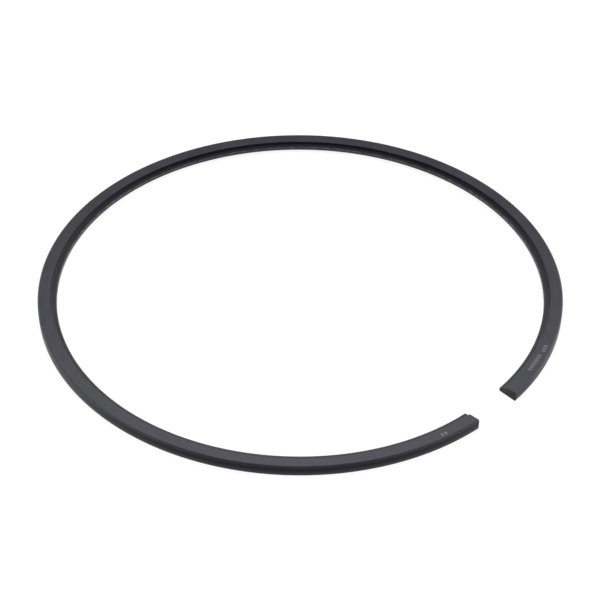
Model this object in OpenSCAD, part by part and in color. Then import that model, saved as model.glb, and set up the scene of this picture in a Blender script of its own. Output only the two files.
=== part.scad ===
// Compression ring for a piston, one springy piece of hardened steel, shown in its free state.
// Lengths are in millimetres and angles in degrees.
// Its wall is a keystone in section, tallest at the running face, with a step in the upper side.
// The ring lies with the stepped side up. Its gap faces -Y, and the origin is on the floor
// that it rests on, at the centre of the box that just holds it.

/* [Bore] */
// Diameter of the cylinder that the ring runs in
bore_d = 120; // [90:1:150]
// Gap that is left between the ends once the ring is closed into its cylinder
fitted_gap = 0.4; // [0.2:0.05:1]
// Gap between the ends of the free ring, along its middle line
free_gap = 12.1; // [8:0.1:18]

/* [Section] */
// Height of the ring at its running face
ring_h = 2.5; // [2.3:0.05:3.5]
// Wall of the ring, from the running face to the inner face
wall = 4.4; // [4.2:0.05:5.2]
// Taper of the upper side and of the underside, each towards the inner face
taper = 7.5; // [5:0.5:8]
// Width of the upper land, from the running face to the inner step
land_w = 2.95; // [2.2:0.05:3.1]
// Width of the sloped side of the inner step
slope_w = 0.5; // [0.3:0.05:0.7]
// Fall of the sloped side, from the land to the tread
slope_fall = 0.55; // [0.2:0.05:0.6]
// Fall of the tread, from the sloped side to the inner face
tread_fall = 0.15; // [0.05:0.05:0.3]

/* [Edges] */
// Bulge of the barrel-shaped running face at its middle
barrel = 0.03; // [0.01:0.005:0.06]
// Chamfer at the upper edge of the running face
upper_chamfer = 0.3; // [0.05:0.05:0.4]
// Chamfer at the lower edge of the running face
lower_chamfer = 0.1; // [0.05:0.05:0.2]
// Chamfer on the two corners of the inner face
nose_chamfer = 0.1; // [0.02:0.02:0.1]
// Chamfer on the outer corner of each end
end_chamfer = 0.1; // [0.05:0.05:0.5]

/* [Hidden] */
$fn = 360;

steel_dark = [0.30, 0.30, 0.33];

// The middle line keeps its length as the ring opens. Closed, it is a circle of this radius.
middle_r = (bore_d - wall) / 2;
// Share of its curvature that the ring gives up to press evenly on its cylinder
spring = (free_gap - fitted_gap) / (3 * PI * middle_r);

// The free middle line is a chain of arcs from the back to each end, smooth at their joints.
// Each arc but the last turns the line by this angle.
joint_turn = 45;
arcs = 180 / joint_turn;

// Even pressure bends the closed ring by 1 + cos(a), with a measured from the back.
// This is the mean of cos(a) over arc i, and then the radius of that arc, in whole microns.
function mean_cos(i) = (sin((i + 1) * joint_turn) - sin(i * joint_turn)) * arcs / PI;
function arc_r(i) = round(1000 * middle_r / (1 - spring * (1 + mean_cos(i)))) / 1000;

// Direction out from an arc's centre, turned by a from the back
function outward(a) = [sin(a), cos(a)];

// Step from the centre of the last arc to that of arc i, along the line to their joint
function step(i) = (arc_r(i - 1) - arc_r(i)) * outward(i * joint_turn);
function centre(i) = i == 0 ? [0, 0] : centre(i - 1) + step(i);

// The last arc stops half the free gap from the ring's line of symmetry
last_centre = centre(arcs - 1);
last_r = arc_r(arcs - 1);
end_turn = 180 - asin((free_gap / 2 - last_centre[0]) / last_r);

// How far the ring reaches to the back, and to the front at the chamfered corner of an end
outer_r = last_r + wall / 2;
corner_turn = end_turn - end_chamfer / outer_r * 180 / PI;
back_y = arc_r(0) + wall / 2;
front_y = (last_centre + outer_r * outward(corner_turn))[1];
middle_y = (back_y + front_y) / 2;

// Height of the upper side and of the underside at a distance d in from the running face
function upper_z(d) = ring_h - (d - upper_chamfer) * tan(taper);
function lower_z(d) = (d - lower_chamfer) * tan(taper);

// Heights of the inner step's tread, at its outer and its inner edge
tread_z = upper_z(land_w) - slope_fall;
inner_top = tread_z - tread_fall;
tread_slope = tread_fall / (wall - land_w - slope_w);

// Radius of the running face's barrel, seen in section
barrel_r = (ring_h * ring_h / 4 + barrel * barrel) / (2 * barrel);

// Section of the ring. x is zero at the middle line and grows towards the running face.
module section() {
    outer = wall / 2;
    inner = -wall / 2;
    nose = wall - nose_chamfer;
    intersection() {
        polygon([
            [outer - upper_chamfer, ring_h],
            [outer - land_w, upper_z(land_w)],
            [outer - land_w - slope_w, tread_z],
            [outer - nose, inner_top + tread_slope * nose_chamfer],
            [inner, inner_top - nose_chamfer],
            [inner, lower_z(wall) + nose_chamfer],
            [outer - nose, lower_z(nose)],
            [outer - lower_chamfer, 0],
            [outer, lower_chamfer],
            [outer, ring_h - upper_chamfer]
        ]);
        translate([outer - barrel_r, ring_h / 2]) circle(r = barrel_r);
    }
}

// Arc i of the ring's right half, with all the arcs after it
module arcs_from(i) {
    start = i * joint_turn;
    stop = i == arcs - 1 ? end_turn : start + joint_turn;
    rotate_extrude(angle = stop - start, start = 90 - stop)
        translate([arc_r(i), 0]) section();
    if (i < arcs - 1) translate(step(i + 1)) arcs_from(i + 1);
}

// Cuts the outer corner of the right end at 45 degrees
module end_corner() {
    size = 2 * end_chamfer;
    translate(last_centre + outer_r * outward(end_turn))
        rotate([0, 0, -45 - end_turn])
            translate([-size, -end_chamfer / sqrt(2), -1])
                cube([2 * size, size, ring_h + 2]);
}

module piston_ring() {
    color(steel_dark)
        translate([0, -middle_y, 0])
            difference() {
                union() {
                    for (side = [0, 1]) mirror([side, 0, 0]) arcs_from(0);
                }
                for (side = [0, 1]) mirror([side, 0, 0]) end_corner();
            }
}

piston_ring();
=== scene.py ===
# Looks of a split compression ring: satin dark steel, lying free on a pale studio floor.
# Blender's lengths are metres. The ring's own values are millimetres, as in its CAD source.
import math

import bpy
from mathutils import Matrix, Vector


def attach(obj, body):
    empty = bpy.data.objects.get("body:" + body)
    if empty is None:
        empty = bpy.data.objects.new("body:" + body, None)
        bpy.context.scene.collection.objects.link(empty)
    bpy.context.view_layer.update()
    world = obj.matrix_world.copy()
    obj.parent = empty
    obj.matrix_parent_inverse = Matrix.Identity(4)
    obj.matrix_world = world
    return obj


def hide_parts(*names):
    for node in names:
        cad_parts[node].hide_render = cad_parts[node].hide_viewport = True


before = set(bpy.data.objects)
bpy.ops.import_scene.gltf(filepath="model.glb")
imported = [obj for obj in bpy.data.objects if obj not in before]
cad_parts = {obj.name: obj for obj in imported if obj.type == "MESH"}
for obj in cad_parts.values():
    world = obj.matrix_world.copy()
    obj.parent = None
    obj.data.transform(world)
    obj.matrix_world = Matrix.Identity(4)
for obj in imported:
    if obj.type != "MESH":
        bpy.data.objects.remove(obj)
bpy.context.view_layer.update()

MM = 0.001
# Differences smaller than this count as none
TINY = 1e-6

# The ring's sizes, as in its CAD source
BORE_D = 120.0
FITTED_GAP = 0.4
FREE_GAP = 12.1
RING_H = 2.5
WALL = 4.4
TAPER = 7.5
LAND_W = 2.95
SLOPE_W = 0.5
SLOPE_FALL = 0.55
TREAD_FALL = 0.15
BARREL = 0.03
UPPER_CHAMFER = 0.3
LOWER_CHAMFER = 0.1
NOSE_CHAMFER = 0.1
END_CHAMFER = 0.1
JOINT_TURN = 45
ARCS = 4

# Radii of the section's rounded edges, and steps in each rounding
EDGE_R = 0.05
RIM_R = 0.12
STEP_R = 0.1
FOOT_R = 0.12
FILLET_STEPS = 4

# Distances of extra points from both ends of each side of the section. A side takes only those
# below its length divided by SIDE_ROOM. Between them, points are at most LONGEST_STEP apart.
EDGE_STEPS = (0.05, 0.12, 0.25)
SIDE_ROOM = 2.2
LONGEST_STEP = 0.4

# Degrees between the stations along the ring, and distances of extra ones from each end
STATION_TURN = 0.5
END_STEPS = (0.12, 0.3, 0.6)

# Bevel of the edges at the ends that turn by more than BEVEL_ANGLE degrees. Before it, edges
# that turn by more than SMOOTH_ANGLE degrees are marked sharp.
END_BEVEL = 0.03
BEVEL_SEGMENTS = 2
BEVEL_ANGLE = 40
SMOOTH_ANGLE = 32

# How far wear and its painted glint reach in from a convex edge, and how worn the edges are, from
# 0 to 1
# Worn edges turn bright bare steel: partly real edge wear, partly a painted highlight, strongest
# on the nose
WEAR_AND_GLINT_REACH = 0.10
NOSE_WEAR_AND_GLINT = 1.0
LOW_WEAR_AND_GLINT = 0.8

# Colours of the ring's zones, in linear light
RIM = (0.050, 0.050, 0.060)
LAND = (0.0430, 0.0420, 0.0565)
# The riser is near black: partly its own dark machined finish, partly painted shade in the step
SLOPE_AND_PAINTED_SHADE = (0.0030, 0.0030, 0.0065)
TREAD = (0.0175, 0.0168, 0.0215)
NOSE = (0.045, 0.046, 0.052)
UNDERSIDE = (0.060, 0.061, 0.070)
END_FACE = (0.022, 0.022, 0.026)

# The running face goes from its low to its high colour over this share of its height
WALL_LOW = (0.052, 0.053, 0.056)
WALL_HIGH = (0.0048, 0.0048, 0.0080)
WALL_FADE = 0.55

# The steel's noises over the solid: scales are per metre
MOTTLE = {"scale": 210.0, "detail": 3.0, "roughness": 0.55}
TINT = {"scale": 170.0}
GRAIN = {"scale": 5200.0, "roughness": 0.6}
SCUFFS = {"scale": 900.0, "detail": 3.0}
ETCH_GRAIN = {"scale": 2600.0}

# Its noises along the lay: each stretch is per millimetre along the ring and across it
STREAKS = {"scale": 1.0, "detail": 3.0, "roughness": 0.6}
STREAK_STRETCH = (0.09, 2.6, 0.0)
FINE_LAY = {"scale": 1.0}
FINE_STRETCH = (0.35, 11.0, 0.0)

# How strongly each noise changes the colour
MOTTLE_SWING = 0.55
STREAK_SWING = 0.45
GRAIN_SWING = 0.30
ETCH_SWING = 0.8
HUE_STOPS = [(0.40, (1.01, 1.01, 0.975, 1)), (0.62, (0.99, 0.985, 1.04, 1))]

# Bare metal, with a painted highlight, shows at worn edges where the scuffs are stronger than
# this
BARE_STEEL_AND_GLINT = (0.30, 0.30, 0.32, 1)
SCUFF_START = 0.38
SCUFF_GAIN = 1.1

# Roughness: its lowest value, what the mottling and the lay add, and what bare metal takes off
ROUGHNESS = 0.30
MOTTLE_ROUGH = 0.18
LAY_ROUGH = 0.10
BARE_SMOOTH = 0.12

METALLIC = 0.7
BUMP_STRENGTH = 0.35
LAY_HEIGHT = 0.000004
GRAIN_HEIGHT = 0.000006

# Generic etched ticks on the land, in millimetres. A group starts so far from its end of the
# ring, has that many ticks, is on that side, and lies so far in from the running face.
TICK_GROUPS = [(8.1, 7, 1, 1.70), (15.3, 3, 1, 1.45), (7.75, 2, -1, 1.45)]
TICK_PITCH = 0.9
TICK_SHARE = 0.55
TICK_LENGTH = 0.95
ETCHED = (0.150, 0.150, 0.165, 1)

# The floor, in metres, its diffuse colour, and the two parts that make it white where it is seen
FLOOR_HALF = 4.0
FLOOR_DROP = 0.00002
FLOOR_GREY = 0.75
SHADOWED_GREY = 0.22
FLOOR_GLOW = 0.87

# The camera: its distance from the ring's centre, height, heading and roll, and the photo's
# framing. Its direction from the ring is this heading left of the front.
PHOTO_WIDTH = 600
CAMERA_DISTANCE = 0.4142
CAMERA_HEIGHT_ANGLE = math.radians(39.175)
CAMERA_HEADING = math.radians(45.731)
CAMERA_ROLL = math.radians(0.863)
FOCAL_PIXELS = 1738.5
AXIS_PIXEL = (299.11, 288.63)
SENSOR_WIDTH = 36
CLIP_START = 0.01
CLIP_END = 20

# Lamps: each has a direction to the camera's right, away from it and up, and a power in watts
WORLD_STRENGTH = 0.25
LAMP_DISTANCE = 1.3
LAMP_SIZE = 1.0
LAMPS = [
    ("over", (0.0, 0.05, 1.0), 6.0),
    ("back_left", (-0.8, 1.0, 0.35), 3.0),
    ("back_right", (0.8, 1.0, 0.35), 3.7),
    ("low_left", (-1.0, 0.2, 0.2), 4.0),
    ("low_right", (1.0, 0.3, 0.15), 6.2),
    ("front_left", (-1.0, -0.5, 0.15), 4.0),
    ("front_right", (1.0, -0.4, 0.15), 4.6),
    ("low_behind", (0.0, 1.0, 0.15), 9.0),
]

# Free shape of the ring: four arcs from the back to each end, smooth at their joints
middle_r = (BORE_D - WALL) / 2
spring = (FREE_GAP - FITTED_GAP) / (3 * math.pi * middle_r)


def outward(turn):
    """Direction out from an arc's centre, turned from the back."""
    a = math.radians(turn)
    return Vector((math.sin(a), math.cos(a)))


def arc_radius(i):
    """Radius of arc i, in whole microns."""
    first, last = math.radians(i * JOINT_TURN), math.radians((i + 1) * JOINT_TURN)
    mean_cos = (math.sin(last) - math.sin(first)) * ARCS / math.pi
    return round(1000 * middle_r / (1 - spring * (1 + mean_cos))) / 1000


radii = [arc_radius(i) for i in range(ARCS)]
centres = [Vector((0, 0))]
for i in range(1, ARCS):
    centres.append(centres[-1] + (radii[i - 1] - radii[i]) * outward(i * JOINT_TURN))
end_turn = 180 - math.degrees(math.asin((FREE_GAP / 2 - centres[-1].x) / radii[-1]))
outer_r = radii[-1] + WALL / 2

# The ring is moved so that its box is centred between its back and its front
corner_turn = end_turn - math.degrees(END_CHAMFER / outer_r)
front_y = (centres[-1] + outer_r * outward(corner_turn)).y
middle_y = (radii[0] + WALL / 2 + front_y) / 2


def place(turn, across, z, back=0.0):
    """Point of the ring, in metres, with turn in degrees and the rest in millimetres.

    across is measured out from the middle line. back is how far the point is moved away
    from its end, along the ring.
    """
    side = -1 if turn < 0 else 1
    size = abs(turn)
    i = min(int(size / JOINT_TURN), ARCS - 1)
    p = centres[i] + (radii[i] + across) * outward(size)
    p -= back * Vector((outward(size).y, -outward(size).x))
    return Vector((side * p.x, p.y - middle_y, z)) * MM


def along(turn):
    """Length of the middle line from the back to a turn, in millimetres."""
    size = abs(turn)
    length = 0.0
    for i in range(ARCS):
        part = min(max(size - i * JOINT_TURN, 0), JOINT_TURN if i < ARCS - 1 else 360)
        length += radii[i] * math.radians(part)
    return math.copysign(length, turn)


# Section of the ring: x is zero at the middle line, and d is a distance in from its face
def upper_z(d):
    return RING_H - (d - UPPER_CHAMFER) * math.tan(math.radians(TAPER))


def lower_z(d):
    return (d - LOWER_CHAMFER) * math.tan(math.radians(TAPER))


def barrel_x(z):
    return WALL / 2 - BARREL * (2 * z / RING_H - 1) ** 2


outer = WALL / 2
inner = -WALL / 2
nose = WALL - NOSE_CHAMFER
tread_z = upper_z(LAND_W) - SLOPE_FALL
inner_top = tread_z - TREAD_FALL
tread_slope = TREAD_FALL / (WALL - LAND_W - SLOPE_W)
wall_low = LOWER_CHAMFER
wall_high = RING_H - UPPER_CHAMFER

# The end's 45 degree cut takes off what is further out than this
end_cut = outer - END_CHAMFER

# Corners of the section, each with its edge radius, how worn it is with its painted glint, and
# the zone that follows.
# They start at the lower edge of the running face and go up over the land to the inside.
CORNERS = [
    (barrel_x(wall_low), wall_low, EDGE_R, LOW_WEAR_AND_GLINT, "wall"),
    (barrel_x(wall_high), wall_high, RIM_R, 0.0, "rim"),
    (outer - UPPER_CHAMFER, RING_H, RIM_R, 0.0, "land"),
    (outer - LAND_W, upper_z(LAND_W), STEP_R, 0.0, "slope"),
    (outer - LAND_W - SLOPE_W, tread_z, FOOT_R, 0.0, "tread"),
    (outer - nose, inner_top + tread_slope * NOSE_CHAMFER, EDGE_R, NOSE_WEAR_AND_GLINT, "nose"),
    (inner, inner_top - NOSE_CHAMFER, EDGE_R, NOSE_WEAR_AND_GLINT, "nose"),
    (inner, lower_z(WALL) + NOSE_CHAMFER, EDGE_R, LOW_WEAR_AND_GLINT, "nose"),
    (outer - nose, lower_z(nose), EDGE_R, LOW_WEAR_AND_GLINT, "underside"),
    (outer - LOWER_CHAMFER, 0.0, EDGE_R, LOW_WEAR_AND_GLINT, "underside"),
]


def fillet(before, corner, after, r):
    """Points of an arc of radius r that rounds a corner, within a third of its two sides."""
    u, v = before - corner, after - corner
    half = u.angle(v) / 2
    reach = min(r / math.tan(half), u.length / 3, v.length / 3)
    u.normalize()
    v.normalize()
    r = reach * math.tan(half)
    middle = corner + (u + v).normalized() * (r / math.sin(half))
    start = corner + u * reach - middle
    sweep = start.angle_signed(corner + v * reach - middle)
    points = []
    for k in range(FILLET_STEPS + 1):
        turn = Matrix.Rotation(-sweep * k / FILLET_STEPS, 2)
        points.append(middle + turn @ start)
    return points


def between(a, b):
    """Points inside the side from a to b: close together near its ends, then even."""
    length = (b - a).length
    places = [s for s in EDGE_STEPS if s < length / SIDE_ROOM]
    inside = places[-1] if places else 0.0
    steps = max(1, math.ceil((length - 2 * inside) / LONGEST_STEP))
    even = [inside + (length - 2 * inside) * k / steps for k in range(steps + 1)]
    every = sorted(set(places + even + [length - s for s in places]))
    return [a.lerp(b, s / length) for s in every if TINY < s < length - TINY]


def section():
    """Section points in order, each with its zone and its wear with painted glint."""
    spots = [Vector(c[:2]) for c in CORNERS]
    count = len(spots)
    rounded = []
    for i, c in enumerate(CORNERS):
        rounded.append(fillet(spots[i - 1], spots[i], spots[(i + 1) % count], c[2]))
    points = []
    for i, (_, _, _, worn_and_glint, zone) in enumerate(CORNERS):
        after = (i + 1) % count
        for p in rounded[i]:
            points.append((p, zone, worn_and_glint))
        start, stop = rounded[i][-1], rounded[after][0]
        for p in between(start, stop):
            near = worn_and_glint * math.exp(-(p - start).length / WEAR_AND_GLINT_REACH)
            next_near = CORNERS[after][3] * math.exp(-(p - stop).length / WEAR_AND_GLINT_REACH)
            if zone == "wall":
                p = Vector((min(barrel_x(p.y), outer), p.y))
            points.append((p, zone, max(near, next_near)))
    return points


def add_cut_points(outline):
    """Gives the outline a point where the end's cut starts, above and below."""
    for k in range(len(outline) - 1, -1, -1):
        a, b = outline[k][0], outline[(k + 1) % len(outline)][0]
        if (a.x - end_cut) * (b.x - end_cut) < 0:
            p = a.lerp(b, (end_cut - a.x) / (b.x - a.x))
            outline.insert(k + 1, (p, outline[k][1], outline[k][2]))


def cap_loops(outline):
    """The two faces of an end as loops of outline points: the flat one, then its cut."""
    width = len(outline)
    flat = [k for k in range(width) if outline[k][0].x <= end_cut + TINY]
    start = next(k for k in flat if (k - 1) % width not in flat)
    flat = [(start + k) % width for k in range(len(flat))]
    cut = [flat[-1]]
    while cut[-1] != flat[0]:
        cut.append((cut[-1] + 1) % width)
    return flat, cut


def stations():
    """Turns of the sections along the ring, from its left end to its right end."""
    last = [end_turn - math.degrees(s / outer_r) for s in END_STEPS]
    count = int(last[-1] / STATION_TURN)
    half = [k * last[-1] / count for k in range(1, count + 1)] + last[-2::-1] + [end_turn]
    return [-t for t in reversed(half)] + [0.0] + half


def zone_colour(zone, z):
    """Colour of a zone. On the running face it changes with the height z."""
    if zone == "wall":
        share = min(max((z - wall_low) / (wall_high - wall_low), 0), 1)
        share = min(share / WALL_FADE, 1)
        return [low + (high - low) * share for low, high in zip(WALL_LOW, WALL_HIGH)]
    return {
        "rim": RIM,
        "land": LAND,
        "slope": SLOPE_AND_PAINTED_SHADE,
        "tread": TREAD,
        "nose": NOSE,
        "underside": UNDERSIDE,
        "end": END_FACE,
    }[zone]


def swept_mesh(outline, turns):
    """The closed mesh of the ring, and a list that says which of its faces close an end."""
    width = len(outline)
    verts = []
    for turn in turns:
        at_end = abs(turn) > end_turn - TINY
        for p, _, _ in outline:
            back = max(0.0, p.x - end_cut) if at_end else 0.0
            verts.append(place(turn, p.x, p.y, back))

    faces, capped = [], []
    for s in range(len(turns) - 1):
        for k in range(width):
            after = (k + 1) % width
            here, there = s * width, (s + 1) * width
            faces.append((here + k, here + after, there + after, there + k))
            capped.append(False)
    for base, turned in ((0, False), ((len(turns) - 1) * width, True)):
        for loop in cap_loops(outline):
            cap = [base + k for k in loop]
            faces.append(cap if turned else cap[::-1])
            capped.append(True)

    mesh = bpy.data.meshes.new("piston_ring_detail")
    mesh.from_pydata(verts, [], faces)
    mesh.validate()
    mesh.shade_smooth()
    mesh.set_sharp_from_angle(angle=math.radians(SMOOTH_ANGLE))
    return mesh, capped


def add_attributes(mesh, capped, outline, turns):
    """Gives each face corner its tone, its wear with painted glint and its lay.

    The lay is the length along the ring, the length around the section and the depth in from
    the running face, in millimetres. On an end's faces it is the place in the section.
    """
    width = len(outline)
    lengths = [along(turn) for turn in turns]
    around = [0.0]
    for k in range(1, width):
        around.append(around[-1] + (outline[k][0] - outline[k - 1][0]).length)
    # The strip that closes the section goes on from the last length, by about one edge step
    closing = around[-1] + EDGE_STEPS[0]

    tones, lays, wear_and_glint_values = [], [], []
    for face in mesh.polygons:
        at_end = capped[face.index]
        closes = face.vertices[0] % width == width - 1
        for c in face.loop_indices:
            s, k = divmod(mesh.loops[c].vertex_index, width)
            p, zone, worn_and_glint = outline[k]
            across = closing if closes and k == 0 else around[k]
            tones += [*zone_colour("end" if at_end else zone, p.y), 1.0]
            lays += (p.x, p.y, 0.0) if at_end else (lengths[s], across, outer - p.x)
            wear_and_glint_values.append(worn_and_glint)
    for name, kind, key, values in (
        ("tone", "FLOAT_COLOR", "color", tones),
        ("lay", "FLOAT_VECTOR", "vector", lays),
        ("wear_and_glint", "FLOAT", "value", wear_and_glint_values),
    ):
        mesh.attributes.new(name, kind, "CORNER").data.foreach_set(key, values)


def build_ring():
    """The ring as one closed piece: its section swept along the free shape, with the outer
    corner of each end cut at 45 degrees."""
    outline = section()
    add_cut_points(outline)
    turns = stations()
    mesh, capped = swept_mesh(outline, turns)
    add_attributes(mesh, capped, outline, turns)
    ring = bpy.data.objects.new("piston_ring_detail", mesh)
    bpy.context.scene.collection.objects.link(ring)

    bevel = ring.modifiers.new("end edges", "BEVEL")
    bevel.width = END_BEVEL * MM
    bevel.segments = BEVEL_SEGMENTS
    bevel.limit_method = "ANGLE"
    bevel.angle_limit = math.radians(BEVEL_ANGLE)
    bevel.use_clamp_overlap = True
    return ring


class Nodes:
    """Short names for the node trees of the materials."""

    def __init__(self, material):
        material.use_nodes = True
        self.tree = material.node_tree
        self.tree.nodes.clear()

    def add(self, kind, inputs=None, **settings):
        """A new node. Each input is linked where it is a socket, and set otherwise."""
        node = self.tree.nodes.new(kind)
        for key, value in settings.items():
            setattr(node, key, value)
        for key, value in (inputs or {}).items():
            if isinstance(value, bpy.types.NodeSocket):
                self.tree.links.new(value, node.inputs[key])
            else:
                node.inputs[key].default_value = value
        return node

    def attribute(self, name, output):
        return self.add("ShaderNodeAttribute", attribute_name=name).outputs[output]

    def math(self, operation, *values):
        node = self.add("ShaderNodeMath", dict(enumerate(values)), operation=operation)
        return node.outputs[0]

    def clamp(self, value):
        return self.add("ShaderNodeClamp", {"Value": value}).outputs[0]

    def noise(self, vector, scale, detail=2.0, roughness=0.5):
        inputs = {"Vector": vector, "Scale": scale, "Detail": detail, "Roughness": roughness}
        return self.add("ShaderNodeTexNoise", inputs).outputs["Fac"]

    def stretch(self, vector, factors):
        inputs = {0: vector, 1: factors}
        return self.add("ShaderNodeVectorMath", inputs, operation="MULTIPLY").outputs[0]

    def swing(self, value, size):
        """Turns a noise around 0.5 into a factor around 1."""
        centred = self.math("SUBTRACT", value, 0.5)
        return self.math("ADD", self.math("MULTIPLY", centred, size), 1.0)

    def mix(self, factor, first, second, blend_type="MIX"):
        # Inputs 6 and 7 and output 2 are the colours of a Mix node
        inputs = {"Factor": factor, 6: first, 7: second}
        node = self.add("ShaderNodeMix", inputs, data_type="RGBA", blend_type=blend_type)
        return node.outputs[2]

    def bump(self, distance, height, **under):
        inputs = {"Strength": BUMP_STRENGTH, "Distance": distance, "Height": height, **under}
        return self.add("ShaderNodeBump", inputs).outputs[0]

    def diffuse(self, grey):
        return self.add("ShaderNodeBsdfDiffuse", {"Color": (grey, grey, grey, 1)}).outputs[0]

    def finish(self, surface):
        self.add("ShaderNodeOutputMaterial", {"Surface": surface})


def ticks(n, lay):
    """Mask of the etched ticks, from the length along the ring and the depth in from its face."""
    parts = n.add("ShaderNodeSeparateXYZ", {0: lay}).outputs
    length, depth = parts["X"], parts["Z"]
    half = along(end_turn)
    mask = 0.0
    for start, count, side, middle in TICK_GROUPS:
        reach = count * TICK_PITCH
        here = n.math("SUBTRACT", half - start, n.math("MULTIPLY", length, side))
        bars = n.math("FRACT", n.math("DIVIDE", here, TICK_PITCH))
        bars = n.math("COMPARE", bars, 0.5, TICK_SHARE / 2)
        bars = n.math("MULTIPLY", bars, n.math("COMPARE", here, reach / 2, reach / 2))
        bars = n.math("MULTIPLY", bars, n.math("COMPARE", depth, middle, TICK_LENGTH / 2))
        mask = n.math("ADD", mask, bars)
    return mask


def steel():
    """Dark satin steel: its zone's tone, with mottling, grain, ground lay, wear with a painted
    glint, and ticks.
    """
    material = bpy.data.materials.new("dark_satin_steel")
    n = Nodes(material)
    tone = n.attribute("tone", "Color")
    lay = n.attribute("lay", "Vector")
    wear_and_glint = n.attribute("wear_and_glint", "Fac")
    solid = n.add("ShaderNodeTexCoord").outputs["Object"]

    mottle = n.noise(solid, **MOTTLE)
    tint = n.noise(solid, **TINT)
    streak = n.noise(n.stretch(lay, STREAK_STRETCH), **STREAKS)
    fine = n.noise(n.stretch(lay, FINE_STRETCH), **FINE_LAY)
    grain = n.noise(solid, **GRAIN)

    # The zone's tone, tinted a little warmer and colder in patches, then shaded
    hue = n.add("ShaderNodeValToRGB", {"Fac": tint})
    for stop, (position, colour) in zip(hue.color_ramp.elements, HUE_STOPS):
        stop.position = position
        stop.color = colour
    tinted = n.mix(1.0, tone, hue.outputs["Color"], "MULTIPLY")
    shade = n.math("MULTIPLY", n.swing(mottle, MOTTLE_SWING), n.swing(streak, STREAK_SWING))
    shade = n.math("MULTIPLY", shade, n.swing(grain, GRAIN_SWING))
    scaled = n.add("ShaderNodeVectorMath", {0: tinted, "Scale": shade}, operation="SCALE")

    # Painted highlight with real wear: bright bare steel on worn edges where the scuffs are
    # strong
    scuffs = n.math("SUBTRACT", n.noise(solid, **SCUFFS), SCUFF_START)
    bare_and_glint = n.clamp(n.math("MULTIPLY", n.math("MULTIPLY", wear_and_glint, scuffs), SCUFF_GAIN))
    colour = n.mix(bare_and_glint, scaled.outputs[0], BARE_STEEL_AND_GLINT)

    etch_grain = n.swing(n.noise(solid, **ETCH_GRAIN), ETCH_SWING)
    etched = n.clamp(n.math("MULTIPLY", ticks(n, lay), etch_grain))
    colour = n.mix(etched, colour, ETCHED)

    rough = n.math("ADD", ROUGHNESS, n.math("MULTIPLY", mottle, MOTTLE_ROUGH))
    rough = n.math("ADD", rough, n.math("MULTIPLY", fine, LAY_ROUGH))
    rough = n.math("SUBTRACT", rough, n.math("MULTIPLY", bare_and_glint, BARE_SMOOTH))

    ground = n.bump(LAY_HEIGHT, fine)
    grained = n.bump(GRAIN_HEIGHT, grain, Normal=ground)
    shader = n.add(
        "ShaderNodeBsdfPrincipled",
        {"Base Color": colour, "Metallic": METALLIC, "Roughness": rough, "Normal": grained},
    )
    n.finish(shader.outputs[0])
    return material


def floor_material():
    """Pale floor. The camera and mirror-like rays see it white, with the ring's shadow on it."""
    material = bpy.data.materials.new("floor")
    n = Nodes(material)
    rays = n.add("ShaderNodeLightPath").outputs
    seen = n.math("MAXIMUM", rays["Is Camera Ray"], rays["Is Glossy Ray"])
    plain = n.diffuse(FLOOR_GREY)
    shadowed = n.diffuse(SHADOWED_GREY)
    glow = {"Color": (1, 1, 1, 1), "Strength": FLOOR_GLOW}
    white = n.add("ShaderNodeEmission", glow).outputs[0]
    lit = n.add("ShaderNodeAddShader", {0: shadowed, 1: white}).outputs[0]
    n.finish(n.add("ShaderNodeMixShader", {0: seen, 1: plain, 2: lit}).outputs[0])
    return material


def build_floor():
    corners = [(-1, -1), (1, -1), (1, 1), (-1, 1)]
    verts = [(x * FLOOR_HALF, y * FLOOR_HALF, -FLOOR_DROP) for x, y in corners]
    mesh = bpy.data.meshes.new("floor")
    mesh.from_pydata(verts, [], [(0, 1, 2, 3)])
    mesh.materials.append(floor_material())
    floor = bpy.data.objects.new("floor", mesh)
    bpy.context.scene.collection.objects.link(floor)
    return floor


def photo_axes():
    """Right, up and back of the camera before its roll."""
    e, h = CAMERA_HEIGHT_ANGLE, CAMERA_HEADING
    right = Vector((math.cos(h), -math.sin(h), 0))
    up = Vector((math.sin(h) * math.sin(e), math.cos(h) * math.sin(e), math.cos(e)))
    return right, up, right.cross(up)


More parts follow.
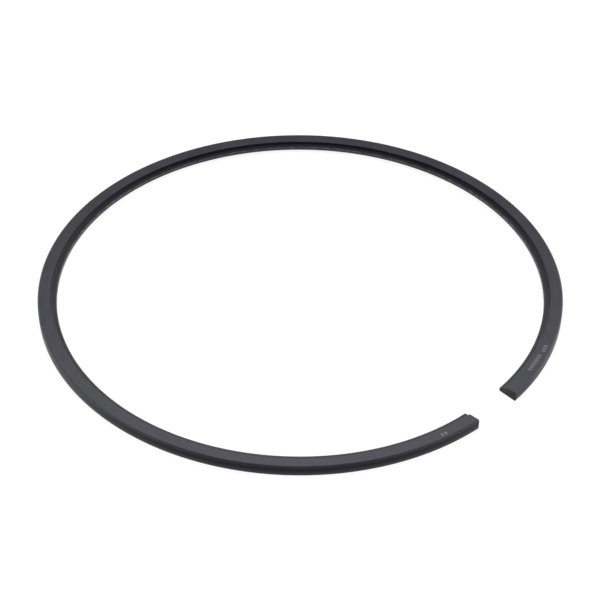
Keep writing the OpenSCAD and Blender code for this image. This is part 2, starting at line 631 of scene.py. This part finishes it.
def add_camera():
    right, up, back = photo_axes()
    rolled_right = right * math.cos(CAMERA_ROLL) + up * math.sin(CAMERA_ROLL)
    rolled_up = up * math.cos(CAMERA_ROLL) - right * math.sin(CAMERA_ROLL)
    lens = bpy.data.cameras.new("camera")
    lens.sensor_width = SENSOR_WIDTH
    lens.lens = FOCAL_PIXELS * SENSOR_WIDTH / PHOTO_WIDTH
    lens.shift_x = (PHOTO_WIDTH / 2 - AXIS_PIXEL[0]) / PHOTO_WIDTH
    lens.shift_y = (AXIS_PIXEL[1] - PHOTO_WIDTH / 2) / PHOTO_WIDTH
    lens.clip_start, lens.clip_end = CLIP_START, CLIP_END
    camera = bpy.data.objects.new("camera", lens)
    axes = Matrix((rolled_right, rolled_up, back)).transposed().to_4x4()
    camera.matrix_world = Matrix.Translation(back * CAMERA_DISTANCE) @ axes
    bpy.context.scene.collection.objects.link(camera)
    bpy.context.scene.camera = camera


def add_lamp(name, direction, power):
    """A soft square lamp that points at the ring, from a direction in the camera's own terms:
    to its right, away from it and up."""
    right, _, back = photo_axes()
    away = -Vector((back.x, back.y, 0)).normalized()
    to_right, to_away, to_up = direction
    spot = (right * to_right + away * to_away + Vector((0, 0, to_up))).normalized()
    light = bpy.data.lights.new(name, "AREA")
    light.shape = "SQUARE"
    light.size = LAMP_SIZE
    light.energy = power
    holder = bpy.data.objects.new(name, light)
    holder.location = spot * LAMP_DISTANCE
    holder.rotation_mode = "QUATERNION"
    holder.rotation_quaternion = (-spot).to_track_quat("-Z", "Y")
    bpy.context.scene.collection.objects.link(holder)


ring = build_ring()
ring.data.materials.append(steel())
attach(ring, "root")
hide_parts("piston_ring")

floor = build_floor()

world = bpy.data.worlds.new("studio")
world.use_nodes = True
backdrop = world.node_tree.nodes["Background"]
backdrop.inputs["Color"].default_value = (1, 1, 1, 1)
backdrop.inputs["Strength"].default_value = WORLD_STRENGTH
bpy.context.scene.world = world

add_camera()
for lamp in LAMPS:
    add_lamp(*lamp)

bpy.context.scene.view_settings.view_transform = "Standard"
